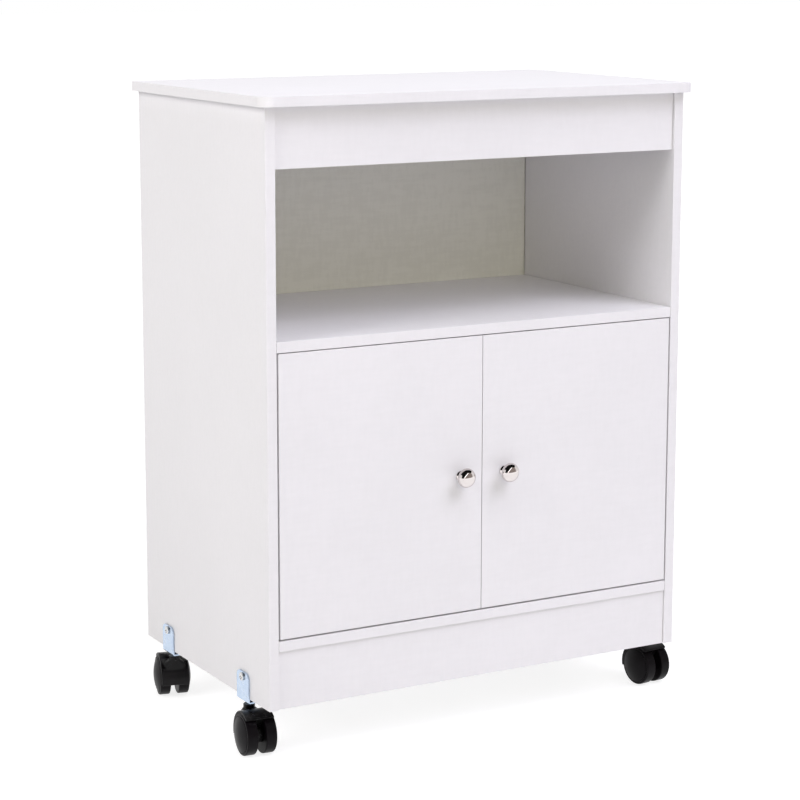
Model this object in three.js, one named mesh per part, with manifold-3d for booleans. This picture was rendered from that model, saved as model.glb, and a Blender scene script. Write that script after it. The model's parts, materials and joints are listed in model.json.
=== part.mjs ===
// A microwave cart: a melamine-board cabinet with an open niche over two inset doors,
// standing on four twin-wheel casters that clip round the lower edges of the side panels.
//
// Millimetres, +Z up. X runs to the right along the front, Y runs to the back, Z = 0 is the floor.
// The origin lies under the middle of the cart's whole box, knobs included.

import * as THREE from 'three';
import { ConvexGeometry } from 'three/addons/geometries/ConvexGeometry.js';
import { mergeVertices } from 'three/addons/utils/BufferGeometryUtils.js';
import Module from 'manifold-3d';

const wasm = await Module();
wasm.setup();

// ---------------------------------------------------------------- driving dimensions

// Carcass
const carcassWidth = 572;
const carcassDepth = 353;
const boardThickness = 12.5;
const kickHeight = 70;
const doorBayHeight = 338.5;
const nicheMouthHeight = 195.5;
const valanceHeight = 70;
const kickRecess = 2.7;
const valanceRecess = 3.9;
const railEndGap = 0.6;

// Top board
const topThickness = 12;
const topOverhangSide = 9;
const topOverhangFront = 13.3;
const topOverhangBack = 0;
const topCornerRadius = 16;

// Back panel, let into grooves in the side panels
const backThickness = 3;
const backInset = 11.7;
const grooveDepth = 5;
const backDrop = 10;

// Doors, knobs and knob screws
const doorThickness = 12.5;
const doorSideGap = 2.2;
const doorBottomGap = 2.2;
const doorTopGap = 1.2;
const doorMeetingGap = 1;
const knobProjection = 23;
const knobRadius = 11.8;
const knobFootRadius = 5.8;
const knobFootHeight = 1.4;
const knobNeckRadius = 3.7;
const knobNeckLow = 2.8;
const knobNeckHigh = 9.6;
const knobHeadMiddle = 14.8;
const knobHeadUnderside = 4;
const knobUndersideAngle = -60;
const knobFromDoorEdge = 30;
const knobHeightInDoor = 168;
const knobScrewRadius = 1.95;
const knobScrewReach = 9;
const knobScrewHeadRadius = 4;
const knobScrewHeadHeight = 2.2;

// Concealed hinges
const cupRadius = 13;
const cupDepth = 9;
const cupWall = 1;
const cupFromDoorEdge = 16;
const cupFlangeThickness = 1.2;
const cupFlangeWidth = 13;
const cupFlangeHeight = 44;
const hingeFromDoorEnd = 60;
const hingeArmHeight = 13;
const hingeArmDepth = 12;
const hingeArmLength = 56;
const hingeTailDrop = 4;
const hingeTailLength = 6;
const hingeNoseHalfWidth = 5;
const hingeNoseGap = 0.7;
const hingeLinkHeight = 8;
const hingeLinkOffset = 1.5;
const hingePlateThickness = 2.5;
const hingePlateSetback = 24;
const hingePlateLength = 36;
const hingePlateMargin = 2;
const hingeBendClearance = 2;
const hingeWingHeight = 46;
const hingeWingLength = 12;

// Dowels of the two rails
const dowelRadius = 3;
const dowelInSide = 9;
const dowelInRail = 20;
const dowelFromRailEdge = 14;

// Caster wheels, hood, stem and axle
const wheelRadius = 25;
const wheelSideGap = 0.5;
const treadWidth = 13.1;
const wheelDomeRise = 4.9;
const wheelEdgeRound = 1.2;
const wheelCapInset = 3;
const wheelCapLip = 0.6;
const axleRadius = 3;
const axleHalfLength = 16.5;
const casterTrail = 20;
const hoodClearance = 1.3;
const hoodWall = 2.2;
const hoodHalfWidth = 17.6;
const hoodFrontAngle = -14;
const hoodBackAngle = 128;
const shoulderHalfWidth = 15;
const shoulderLowAngle = 25;
const shoulderHighAngle = 60;
const shoulderDrop = 2.5;
const webHalfWidth = 4.7;
const webHubRadius = 11.5;
const collarRadius = 7;
const collarRise = 2;
const collarRound = 0.8;
const stemRadius = 3.1;
const stemEngagement = 26;
const stemTipRound = 1;
const stemVisibleLength = 4;
const stemTenonRadius = 2.2;
const stemHeadRadius = 4.8;
const stemHeadHeight = 2.9;
const stemHeadRound = 1;

// Caster brackets and their screws
const bracketWidth = 31.5;
const bracketPlate = 2;
const bracketOuterHeight = 31;
const bracketInnerHeight = 20;
const bracketCornerRadius = 8;
const bracketScrewHeight = 25;
const bracketScrewRadius = 2;
const bracketScrewLength = 11;
const bracketScrewHeadRadius = 5;
const bracketScrewHeadHeight = 2.6;
const bracketScrewHeadTopShare = 0.7;
const casterFromPanelEnd = 68;

// Gap between pieces that touch
const fitGap = 0.3;

// How far a cut runs past the face that it opens, and how deep joined bodies reach into each other
const cutPast = 1;
const joinDepth = 0.5;

// How far the casters stand turned about their stems at rest, in degrees from trailing to the
// front: towards the outside at the front of the cart, towards the middle at its back.
const frontSwivel = 5;
const rearSwivel = 166;

// Faces in a full turn of the round pieces, and faces in each arc
const roundSides = 24;
const smallSides = 14;
const wheelSides = 30;
const cornerSteps = 6;
const hoodSteps = 14;
const knobHeadSteps = 7;
const wheelDomeSteps = 3;

// ---------------------------------------------------------------- derived places

const halfWidth = carcassWidth / 2;
const sideInner = halfWidth - boardThickness;
const bayWidth = 2 * sideInner;
const frontY = knobProjection / 2 - (carcassDepth + topOverhangBack) / 2;
const backY = frontY + carcassDepth;

const wheelInnerOffset = webHalfWidth + wheelSideGap;
const hoodInnerRadius = wheelRadius + hoodClearance;
const hoodOuterRadius = hoodInnerRadius + hoodWall;
const hoodTopZ = wheelRadius + hoodOuterRadius;
const collarTopZ = hoodTopZ + collarRise;
const bracketFootZ = collarTopZ + stemVisibleLength;
const stemHeadZ = bracketFootZ + bracketPlate + fitGap;
const panelBottomZ = stemHeadZ + stemHeadHeight + fitGap;

const bottomShelfZ = panelBottomZ + kickHeight;
const doorBayZ = bottomShelfZ + boardThickness;
const middleShelfZ = doorBayZ + doorBayHeight;
const nicheZ = middleShelfZ + boardThickness;
const valanceZ = nicheZ + nicheMouthHeight;
const sideTopZ = valanceZ + valanceHeight;
const topBoardZ = sideTopZ + fitGap;

const backPanelBackY = backY - backInset;
const backPanelFrontY = backPanelBackY - backThickness;
const shelfBackY = backPanelFrontY - fitGap;

const doorWidth = (bayWidth - doorMeetingGap) / 2 - doorSideGap;
const doorHeight = doorBayHeight - doorTopGap - doorBottomGap;
const doorZ = doorBayZ + doorBottomGap;
const doorBackY = frontY + doorThickness;
const cupCentreX = sideInner - doorSideGap - cupFromDoorEdge;
const knobX = doorMeetingGap / 2 + knobFromDoorEdge;
const knobZ = doorZ + knobHeightInDoor;

const casterX = halfWidth - boardThickness / 2;
const screwZ = panelBottomZ + bracketScrewHeight;

// ---------------------------------------------------------------- helpers

// A three.js mesh as a closed solid: doubled points are merged and empty faces dropped.
function toSolid(geometry) {
  const bare = new THREE.BufferGeometry();
  bare.setAttribute('position', geometry.getAttribute('position').clone());
  if (geometry.index) bare.setIndex(geometry.index.clone());
  const merged = mergeVertices(bare, 1e-4);
  const corners = merged.index.array;
  const kept = [];
  for (let i = 0; i < corners.length; i += 3) {
    const [a, b, c] = [corners[i], corners[i + 1], corners[i + 2]];
    if (a !== b && b !== c && c !== a) kept.push(a, b, c);
  }
  return new wasm.Manifold(new wasm.Mesh({
    numProp: 3,
    vertProperties: new Float32Array(merged.getAttribute('position').array),
    triVerts: new Uint32Array(kept),
  }));
}

// A solid back as a three.js geometry.
function toGeometry(solid) {
  const mesh = solid.getMesh();
  const geometry = new THREE.BufferGeometry();
  geometry.setAttribute('position', new THREE.BufferAttribute(new Float32Array(mesh.vertProperties), 3));
  geometry.setIndex(new THREE.BufferAttribute(new Uint32Array(mesh.triVerts), 1));
  geometry.computeVertexNormals();
  return geometry;
}

// One body joined from the first list of geometries, less each of the second list.
function carve(bodies, cuts = []) {
  let solid = toSolid(bodies[0]);
  for (const body of bodies.slice(1)) solid = solid.add(toSolid(body));
  for (const cut of cuts) solid = solid.subtract(toSolid(cut));
  return toGeometry(solid);
}

// A box between two corners, given in any order.
function boxBetween(a, b) {
  const size = [0, 1, 2].map((i) => Math.abs(b[i] - a[i]));
  const middle = [0, 1, 2].map((i) => (a[i] + b[i]) / 2);
  return new THREE.BoxGeometry(...size).translate(...middle);
}

// Turns a shape's drawing plane: its x and y go to the first two directions, its depth to the third.
function basis(xTo, yTo, depthTo) {
  return new THREE.Matrix4().makeBasis(
    new THREE.Vector3(...xTo),
    new THREE.Vector3(...yTo),
    new THREE.Vector3(...depthTo),
  );
}
const outlineYZ = basis([0, 1, 0], [0, 0, 1], [1, 0, 0]);

// An outline pushed out from one plane to another.
function pushed(shape, from, to, turn = null) {
  const low = Math.min(from, to);
  const geometry = new THREE.ExtrudeGeometry(shape, {
    depth: Math.abs(to - from),
    bevelEnabled: false,
    curveSegments: cornerSteps,
  });
  geometry.translate(0, 0, low);
  return turn ? geometry.applyMatrix4(turn) : geometry;
}

// An outline through the given corners.
function outline(corners) {
  return new THREE.Shape(corners.map(([x, y]) => new THREE.Vector2(x, y)));
}

// A profile of [radius, height] points turned about the axis, which points along direction.
function turned(profile, direction, sides = roundSides) {
  const points = profile.map(([radius, height]) => new THREE.Vector2(radius, height));
  const geometry = new THREE.LatheGeometry(points, sides);
  const aim = new THREE.Quaternion().setFromUnitVectors(
    new THREE.Vector3(0, 1, 0),
    new THREE.Vector3(...direction),
  );
  return geometry.applyQuaternion(aim);
}

// A plain round bar between two distances along direction, measured from its centre point.
function bar(radius, from, to, direction, centre, sides = smallSides) {
  const low = Math.min(from, to);
  const high = Math.max(from, to);
  const profile = [[0, low], [radius, low], [radius, high], [0, high]];
  return turned(profile, direction, sides).translate(...centre);
}

const cart = new THREE.Group();

// Adds a named piece with its own finish to a group.
function addPiece(name, geometry, finish, parent = cart) {
  const mesh = new THREE.Mesh(geometry, new THREE.MeshStandardMaterial(finish));
  mesh.name = name;
  parent.add(mesh);
  return mesh;
}

const whiteBoard = { color: 0xe9e7ec, roughness: 0.45, metalness: 0 };
const backBoard = { color: 0xdcdad6, roughness: 0.5, metalness: 0 };
const polishedChrome = { color: 0xd5d2cf, roughness: 0.08, metalness: 1 };
const zincPlate = { color: 0xb9cfe6, roughness: 0.3, metalness: 1 };
const nickelSteel = { color: 0xc4c6c8, roughness: 0.25, metalness: 1 };
const darkSteel = { color: 0x4d4648, roughness: 0.4, metalness: 1 };
const blackPlastic = { color: 0x17171a, roughness: 0.35, metalness: 0 };

const sides = [
  { name: 'left', sign: -1 },
  { name: 'right', sign: 1 },
];

// ---------------------------------------------------------------- casters: where they stand

const casters = sides.flatMap(({ name, sign }) => [
  { name: `front_${name}`, sign, y: frontY + casterFromPanelEnd, swivel: sign * frontSwivel },
  { name: `rear_${name}`, sign, y: backY - casterFromPanelEnd, swivel: -sign * rearSwivel },
]);

// ---------------------------------------------------------------- rails: where their dowels stand

const rails = [
  {
    name: 'valance',
    y: frontY + valanceRecess + boardThickness / 2,
    heights: { upper: sideTopZ - dowelFromRailEdge, lower: valanceZ + dowelFromRailEdge },
  },
  {
    name: 'kick',
    y: frontY + kickRecess + boardThickness / 2,
    heights: { upper: bottomShelfZ - dowelFromRailEdge, lower: panelBottomZ + dowelFromRailEdge },
  },
];

// A round bar or hole along X that crosses the joint between a side panel and a rail's end.
function dowelBar(sign, rail, height, radius, inSide, inRail) {
  const railEnd = sideInner - railEndGap;
  return bar(radius, sign * (railEnd - inRail), sign * (sideInner + inSide), [1, 0, 0], [0, rail.y, height]);
}

function dowelHoles(rail) {
  const holes = [];
  for (const { sign } of sides) {
    for (const height of Object.values(rail.heights)) {
      const radius = dowelRadius + fitGap;
      holes.push(dowelBar(sign, rail, height, radius, dowelInSide + fitGap, dowelInRail + fitGap));
    }
  }
  return holes;
}

function addDowels() {
  for (const rail of rails) {
    for (const { name, sign } of sides) {
      for (const [level, height] of Object.entries(rail.heights)) {
        const dowel = dowelBar(sign, rail, height, dowelRadius, dowelInSide, dowelInRail);
        addPiece(`${rail.name}_${name}_${level}_dowel`, carve([dowel]), darkSteel);
      }
    }
  }
}

// ---------------------------------------------------------------- carcass boards

function addTopBoard() {
  const left = -halfWidth - topOverhangSide;
  const right = halfWidth + topOverhangSide;
  const front = frontY - topOverhangFront;
  const back = backY + topOverhangBack;
  const shape = new THREE.Shape();
  shape.moveTo(right, back);
  shape.lineTo(left, back);
  shape.lineTo(left, front + topCornerRadius);
  shape.absarc(left + topCornerRadius, front + topCornerRadius, topCornerRadius, Math.PI, 1.5 * Math.PI);
  shape.absarc(right - topCornerRadius, front + topCornerRadius, topCornerRadius, 1.5 * Math.PI, 2 * Math.PI);
  shape.closePath();
  addPiece('top_board', carve([pushed(shape, topBoardZ, topBoardZ + topThickness)]), whiteBoard);
}

// The blind hole in a side panel's outer face for one bracket screw.
function bracketScrewHole(caster) {
  const depth = bracketScrewLength - bracketPlate;
  return bar(
    bracketScrewRadius + fitGap,
    caster.sign * (halfWidth - depth - fitGap),
    caster.sign * (halfWidth + cutPast),
    [1, 0, 0],
    [0, caster.y, screwZ],
  );
}

function addSidePanels() {
  for (const { name, sign } of sides) {
    const inner = sign * sideInner;
    const panel = boxBetween([inner, frontY, panelBottomZ], [sign * halfWidth, backY, sideTopZ]);
    const groove = boxBetween(
      [inner - sign * cutPast, backPanelFrontY - fitGap, panelBottomZ - cutPast],
      [inner + sign * grooveDepth, backPanelBackY + fitGap, sideTopZ + cutPast],
    );
    const cuts = [groove];
    for (const rail of rails) cuts.push(...dowelHoles(rail));
    for (const caster of casters) {
      if (caster.sign === sign) cuts.push(bracketScrewHole(caster));
    }
    addPiece(`${name}_side_panel`, carve([panel], cuts), whiteBoard);
  }
}

function addRails() {
  const spans = { valance: [valanceZ, sideTopZ], kick: [panelBottomZ, bottomShelfZ - fitGap] };
  const halfLength = sideInner - railEndGap;
  for (const rail of rails) {
    const [low, high] = spans[rail.name];
    const board = boxBetween(
      [-halfLength, rail.y - boardThickness / 2, low],
      [halfLength, rail.y + boardThickness / 2, high],
    );
    addPiece(`${rail.name}_rail`, carve([board], dowelHoles(rail)), whiteBoard);
  }
}

function addShelves() {
  const halfLength = sideInner - fitGap;
  for (const [name, low] of [['middle_shelf', middleShelfZ], ['bottom_shelf', bottomShelfZ]]) {
    const shelf = boxBetween([-halfLength, frontY, low], [halfLength, shelfBackY, low + boardThickness]);
    addPiece(name, carve([shelf]), whiteBoard);
  }
}

function addBackPanel() {
  const halfLength = sideInner + grooveDepth - fitGap;
  const panel = boxBetween(
    [-halfLength, backPanelFrontY, bottomShelfZ - backDrop],
    [halfLength, backPanelBackY, sideTopZ],
  );
  addPiece('back_panel', carve([panel]), backBoard);
}

// ---------------------------------------------------------------- doors and knobs

// The two heights of a door's hinges.
const hingeLevels = [
  { name: 'upper', z: doorZ + doorHeight - hingeFromDoorEnd },
  { name: 'lower', z: doorZ + hingeFromDoorEnd },
];

function addDoors() {
  for (const { name, sign } of sides) {
    const outerEdge = sign * (sideInner - doorSideGap);
    const board = boxBetween(
      [outerEdge, frontY, doorZ],
      [outerEdge - sign * doorWidth, doorBackY, doorZ + doorHeight],
    );
    const cuts = hingeLevels.map(({ z }) => bar(
      cupRadius + fitGap,
      doorBackY - cupDepth - fitGap,
      doorBackY + cutPast,
      [0, 1, 0],
      [sign * cupCentreX, 0, z],
      roundSides,
    ));
    const knobPlace = [sign * knobX, 0, knobZ];
    cuts.push(bar(knobScrewRadius + fitGap, frontY - cutPast, doorBackY + cutPast, [0, 1, 0], knobPlace));
    addPiece(`${name}_door`, carve([board], cuts), whiteBoard);
  }
}

// A mushroom knob, [radius, distance from the door's face], with a blind hole for its screw.
// Its head is two half ellipses that meet at the widest place.
function knobProfile() {
  const hole = knobScrewRadius + fitGap;
  const holeDepth = knobScrewReach + fitGap;
  const profile = [
    [0, holeDepth],
    [hole, holeDepth],
    [hole, fitGap],
    [knobFootRadius, fitGap],
    [knobFootRadius, knobFootHeight],
    [knobNeckRadius, knobNeckLow],
    [knobNeckRadius, knobNeckHigh],
  ];
  for (let i = 0; i <= knobHeadSteps; i += 1) {
    const degrees = knobUndersideAngle + ((90 - knobUndersideAngle) * i) / knobHeadSteps;
    const angle = THREE.MathUtils.degToRad(degrees);
    const rise = degrees < 0 ? knobHeadUnderside : knobProjection - knobHeadMiddle;
    profile.push([knobRadius * Math.cos(angle), knobHeadMiddle + rise * Math.sin(angle)]);
  }
  return profile;
}

function addKnobs() {
  const seat = doorBackY + fitGap;
  for (const { name, sign } of sides) {
    const place = [sign * knobX, 0, knobZ];
    const knob = turned(knobProfile(), [0, -1, 0]).translate(place[0], frontY, place[2]);
    addPiece(`${name}_knob`, carve([knob]), polishedChrome);
    const shank = bar(knobScrewRadius, frontY - knobScrewReach, seat + joinDepth, [0, 1, 0], place);
    const head = bar(knobScrewHeadRadius, seat, seat + knobScrewHeadHeight, [0, 1, 0], place);
    addPiece(`${name}_knob_screw`, carve([shank, head]), nickelSteel);
  }
}

// ---------------------------------------------------------------- concealed hinges

// The cup let into the door's back, with the flange that lies on the door.
function hingeCup(sign, z) {
  const rim = doorBackY + fitGap;
  const cupProfile = [
    [0, doorBackY - cupDepth],
    [cupRadius, doorBackY - cupDepth],
    [cupRadius, rim + cupFlangeThickness],
    [0, rim + cupFlangeThickness],
  ];
  const cup = turned(cupProfile, [0, 1, 0]).translate(sign * cupCentreX, 0, z);
  const flange = boxBetween(
    [sign * cupCentreX - cupFlangeWidth / 2, rim, z - cupFlangeHeight / 2],
    [sign * cupCentreX + cupFlangeWidth / 2, rim + cupFlangeThickness, z + cupFlangeHeight / 2],
  );
  const hollow = bar(
    cupRadius - cupWall,
    doorBackY - cupDepth + cupWall,
    rim + cupFlangeThickness + cutPast,
    [0, 1, 0],
    [sign * cupCentreX, 0, z],
    roundSides,
  );
  return carve([cup, flange], [hollow]);
}

// The cranked arm, the link that it holds out into the cup, and the winged plate on the side panel,
// seen from above: u is the distance from the side panel's inner face, v the distance behind the
// door's back. The link's tip stands clear of the cup, which swings out round it.
function hingeArm(sign, z) {
  const noseU = sideInner - cupCentreX;
  const noseV = fitGap + cupFlangeThickness + hingeNoseGap;
  const plateU = fitGap + hingePlateThickness;
  const armTop = plateU + hingeArmDepth;
  const plateEnd = hingePlateSetback + hingePlateLength;
  const armEnd = noseV + hingeArmLength;
  const bend = hingePlateSetback - hingeBendClearance;
  const buriedU = fitGap + joinDepth;
  const corners = [
    [buriedU, armEnd],
    [armTop - hingeTailDrop, armEnd],
    [armTop, armEnd - hingeTailLength],
    [armTop, bend],
    [noseU + hingeNoseHalfWidth, bend / 2],
    [noseU + hingeNoseHalfWidth, noseV],
    [noseU - hingeNoseHalfWidth, noseV],
    [noseU - hingeNoseHalfWidth, bend / 2 - hingeBendClearance],
    [buriedU, hingePlateSetback + 2 * hingeBendClearance],
  ];
  const place = ([u, v]) => [sign * (sideInner - u), doorBackY + v];
  const arm = pushed(outline(corners.map(place)), z - hingeArmHeight / 2, z + hingeArmHeight / 2);
  const linkTip = cupWall - cupDepth + fitGap;
  const link = boxBetween(
    [...place([noseU - hingeLinkOffset, linkTip]), z - hingeLinkHeight / 2],
    [...place([noseU + hingeNoseHalfWidth, noseV + joinDepth]), z + hingeLinkHeight / 2],
  );
  const plate = boxBetween(
    [...place([fitGap, hingePlateSetback]), z - hingeArmHeight / 2 - hingePlateMargin],
    [...place([plateU, plateEnd]), z + hingeArmHeight / 2 + hingePlateMargin],
  );
  const wingMiddle = hingePlateSetback + hingePlateLength / 2;
  const wings = boxBetween(
    [...place([fitGap, wingMiddle - hingeWingLength / 2]), z - hingeWingHeight / 2],
    [...place([plateU, wingMiddle + hingeWingLength / 2]), z + hingeWingHeight / 2],
  );
  return carve([arm, link, plate, wings]);
}

function addHinges() {
  for (const { name, sign } of sides) {
    for (const level of hingeLevels) {
      addPiece(`${name}_${level.name}_hinge_cup`, hingeCup(sign, level.z), nickelSteel);
      addPiece(`${name}_${level.name}_hinge_arm`, hingeArm(sign, level.z), nickelSteel);
    }
  }
}

// ---------------------------------------------------------------- caster brackets

// A U-shaped plate clipped round the side panel's lower edge, drawn about the panel's mid-plane.
// The outer leg takes the screw, the foot carries the stem.
function bracketGeometry(sign) {
  const innerHalf = boardThickness / 2 + fitGap;
  const outerHalf = innerHalf + bracketPlate;
  const footZ = bracketFootZ;
  const slot = boxBetween(
    [-innerHalf, -bracketWidth, footZ + bracketPlate],
    [innerHalf, bracketWidth, footZ + 2 * bracketOuterHeight],
  );
  const legTop = { outer: panelBottomZ + bracketOuterHeight, inner: panelBottomZ + bracketInnerHeight };
  const block = roundedLeg(footZ, legTop.outer, -outerHalf, outerHalf);
  const innerCut = boxBetween(
    [-sign * (innerHalf - cutPast), -bracketWidth, legTop.inner],
    [-sign * (outerHalf + cutPast), bracketWidth, legTop.outer + cutPast],
  );
  const screwHole = bar(
    bracketScrewRadius + fitGap,
    sign * (innerHalf - cutPast),
    sign * (outerHalf + cutPast),
    [1, 0, 0],
    [0, 0, screwZ],
  );
  const tenonHole = bar(
    stemTenonRadius + fitGap,
    footZ - cutPast,
    footZ + bracketPlate + cutPast,
    [0, 0, 1],
    [0, 0, 0],
  );
  return carve([block], [slot, innerCut, screwHole, tenonHole]);
}

// The bracket's side view: square at the foot, round at the leg's two upper corners.
function roundedLeg(low, high, fromX, toX) {
  const half = bracketWidth / 2;
  const r = bracketCornerRadius;
  const shape = new THREE.Shape();
  shape.moveTo(-half, low);
  shape.lineTo(half, low);
  shape.lineTo(half, high - r);
  shape.absarc(half - r, high - r, r, 0, Math.PI / 2);
  shape.absarc(-half + r, high - r, r, Math.PI / 2, Math.PI);
  shape.closePath();
  return pushed(shape, fromX, toX, outlineYZ);
}

// A pan-head screw through the bracket's outer leg into the panel.
function bracketScrewGeometry(sign) {
  const seat = boardThickness / 2 + fitGap + bracketPlate + fitGap;
  const tip = seat - bracketScrewLength;
  const direction = [sign, 0, 0];
  const shank = bar(bracketScrewRadius, tip, seat + joinDepth, direction, [0, 0, screwZ]);
  const head = turned([
    [0, seat],
    [bracketScrewHeadRadius, seat],
    [bracketScrewHeadRadius, seat + bracketScrewHeadHeight / 2],
    [bracketScrewHeadRadius * bracketScrewHeadTopShare, seat + bracketScrewHeadHeight],
    [0, seat + bracketScrewHeadHeight],
  ], direction, smallSides).translate(0, 0, screwZ);
  return carve([shank, head]);
}

// ---------------------------------------------------------------- caster, drawn trailing to -Y

// The steel stem: its head lies on the bracket's foot, its shank runs down into the hood.
function stemGeometry() {
  const low = collarTopZ - stemEngagement;
  const shankTop = bracketFootZ - fitGap;
  const headTop = stemHeadZ + stemHeadHeight;
  return carve([turned([
    [0, low],
    [stemRadius - stemTipRound, low],
    [stemRadius, low + stemTipRound],
    [stemRadius, shankTop],
    [stemTenonRadius, shankTop],
    [stemTenonRadius, stemHeadZ],
    [stemHeadRadius, stemHeadZ],
    [stemHeadRadius, headTop - stemHeadRound],
    [stemHeadRadius - stemHeadRound, headTop],
    [0, headTop],
  ], [0, 0, 1], smallSides)]);
}

// A point on a circle about the axle, at an angle measured up from the stem's side.
function aboutAxle(radius, degrees) {
  const angle = THREE.MathUtils.degToRad(degrees);
  return [-casterTrail + radius * Math.cos(angle), wheelRadius + radius * Math.sin(angle)];
}

// The arched outline of the hood between two radii, or down to the axle.
function hoodArch(inner, outer) {
  const angleAt = (i) => hoodFrontAngle + ((hoodBackAngle - hoodFrontAngle) * i) / hoodSteps;
  const corners = [];
  for (let i = 0; i <= hoodSteps; i += 1) corners.push(aboutAxle(outer, angleAt(i)));
  if (inner === 0) {
    corners.push(aboutAxle(0, 0));
  } else {
    for (let i = hoodSteps; i >= 0; i -= 1) corners.push(aboutAxle(inner, angleAt(i)));
  }
  return outline(corners);
}

// The shoulder that leads from the arch up to the collar: the convex body round a ring under the
// collar and two lines across the arch.
function shoulderGeometry() {
  const points = [];
  const ringZ = hoodTopZ - shoulderDrop;
  for (let i = 0; i < roundSides; i += 1) {
    const angle = (2 * Math.PI * i) / roundSides;
    points.push(new THREE.Vector3(collarRadius * Math.cos(angle), collarRadius * Math.sin(angle), ringZ));
  }
  for (const angle of [shoulderLowAngle, shoulderHighAngle]) {
    const [y, z] = aboutAxle(hoodOuterRadius - joinDepth, angle);
    for (const { sign } of sides) points.push(new THREE.Vector3(sign * shoulderHalfWidth, y, z));
  }
  return new ConvexGeometry(points);
}

// The hood: an arched cover over both wheels, a web between them that holds the axle,
// and a shoulder with the collar that turns on the stem.
function hoodGeometry() {
  const cover = pushed(hoodArch(hoodInnerRadius, hoodOuterRadius), -hoodHalfWidth, hoodHalfWidth, outlineYZ);
  const sector = hoodArch(0, hoodOuterRadius - hoodWall / 2);
  const web = pushed(sector, -webHalfWidth, webHalfWidth, outlineYZ);
  const axlePlace = [0, -casterTrail, wheelRadius];
  const hub = bar(webHubRadius, -webHalfWidth, webHalfWidth, [1, 0, 0], axlePlace, roundSides);
  const collarLow = hoodTopZ - shoulderDrop - joinDepth;
  const collar = turned([
    [0, collarLow],
    [collarRadius, collarLow],
    [collarRadius, collarTopZ - collarRound],
    [collarRadius - collarRound, collarTopZ],
    [0, collarTopZ],
  ], [0, 0, 1]);
  const holeHalf = webHalfWidth + cutPast;
  const axleHole = bar(axleRadius + fitGap, -holeHalf, holeHalf, [1, 0, 0], axlePlace);
  const socket = bar(
    stemRadius + fitGap,
    collarTopZ - stemEngagement - fitGap,
    collarTopZ + cutPast,
    [0, 0, 1],
    [0, 0, 0],
  );
  return carve([cover, web, hub, shoulderGeometry(), collar], [axleHole, socket]);
}

// A domed wheel with a blind bore, [radius, distance outward from its inner face].
function wheelGeometry(sign) {
  const bore = axleRadius + fitGap;
  const boreDepth = axleHalfLength - wheelInnerOffset + fitGap;
  const edge = wheelEdgeRound;
  const capRadius = wheelRadius - wheelCapInset;
  const profile = [
    [0, boreDepth],
    [bore, boreDepth],
    [bore, 0],
    [wheelRadius - edge, 0],
    [wheelRadius, edge],
    [wheelRadius, treadWidth - edge],
    [wheelRadius - edge, treadWidth],
  ];
  for (let i = wheelDomeSteps; i >= 0; i -= 1) {
    const share = i / wheelDomeSteps;
    const rise = (wheelDomeRise - wheelCapLip) * (1 - share * share);
    profile.push([capRadius * share, treadWidth + wheelCapLip + rise]);
  }
  const wheel = turned(profile, [sign, 0, 0], wheelSides);
  return carve([wheel.translate(sign * wheelInnerOffset, -casterTrail, wheelRadius)]);
}

function addCasters() {
  for (const { name, sign, y, swivel } of casters) {
    const fixed = new THREE.Group();
    fixed.position.set(sign * casterX, y, 0);
    cart.add(fixed);
    addPiece(`${name}_bracket`, bracketGeometry(sign), zincPlate, fixed);
    addPiece(`${name}_bracket_screw`, bracketScrewGeometry(sign), nickelSteel, fixed);
    addPiece(`${name}_stem`, stemGeometry(), zincPlate, fixed);

    const turning = new THREE.Group();
    turning.position.copy(fixed.position);
    turning.rotation.z = THREE.MathUtils.degToRad(swivel);
    cart.add(turning);
    addPiece(`${name}_hood`, hoodGeometry(), blackPlastic, turning);
    const axle = bar(axleRadius, -axleHalfLength, axleHalfLength, [1, 0, 0], [0, -casterTrail, wheelRadius]);
    addPiece(`${name}_axle`, carve([axle]), nickelSteel, turning);
    for (const wheel of sides) {
      addPiece(`${name}_${wheel.name}_wheel`, wheelGeometry(wheel.sign), blackPlastic, turning);
    }
  }
}

// ---------------------------------------------------------------- the cart

addTopBoard();
addSidePanels();
addRails();
addShelves();
addBackPanel();
addDowels();
addDoors();
addKnobs();
addHinges();
addCasters();

export default cart;
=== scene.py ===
# %% [markdown]
# # A white microwave cart
# The cart is a cabinet of white melamine-faced boards: an open niche for the oven, two inset doors
# below it, and four twin-wheel casters that clip round the lower edges of the side panels.
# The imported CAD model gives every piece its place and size, in metres, with +Z up and the doors
# facing -Y. This lesson gives each piece its true surface and finish, and lights it like a
# catalogue picture.

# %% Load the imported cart
import json

import bmesh
import bpy
import numpy as np
from mathutils import Matrix, Vector


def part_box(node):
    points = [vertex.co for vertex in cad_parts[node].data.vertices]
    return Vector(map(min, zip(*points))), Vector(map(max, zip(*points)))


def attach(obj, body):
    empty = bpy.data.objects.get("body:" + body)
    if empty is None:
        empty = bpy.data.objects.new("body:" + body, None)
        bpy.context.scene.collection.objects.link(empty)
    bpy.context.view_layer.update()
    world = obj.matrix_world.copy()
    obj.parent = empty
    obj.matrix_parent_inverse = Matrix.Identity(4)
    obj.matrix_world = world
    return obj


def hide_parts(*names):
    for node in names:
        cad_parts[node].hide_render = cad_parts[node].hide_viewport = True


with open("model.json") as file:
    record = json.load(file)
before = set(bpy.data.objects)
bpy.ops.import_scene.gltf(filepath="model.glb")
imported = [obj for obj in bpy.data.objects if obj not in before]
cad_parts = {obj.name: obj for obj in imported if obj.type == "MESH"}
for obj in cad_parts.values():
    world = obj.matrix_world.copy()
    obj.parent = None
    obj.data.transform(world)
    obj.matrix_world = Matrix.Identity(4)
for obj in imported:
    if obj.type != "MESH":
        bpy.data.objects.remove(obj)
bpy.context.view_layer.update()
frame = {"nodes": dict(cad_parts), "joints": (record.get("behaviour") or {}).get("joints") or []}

MM = 0.001
same_place = 1e-6
joints = {joint["name"]: joint for joint in frame["joints"]}

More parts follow.
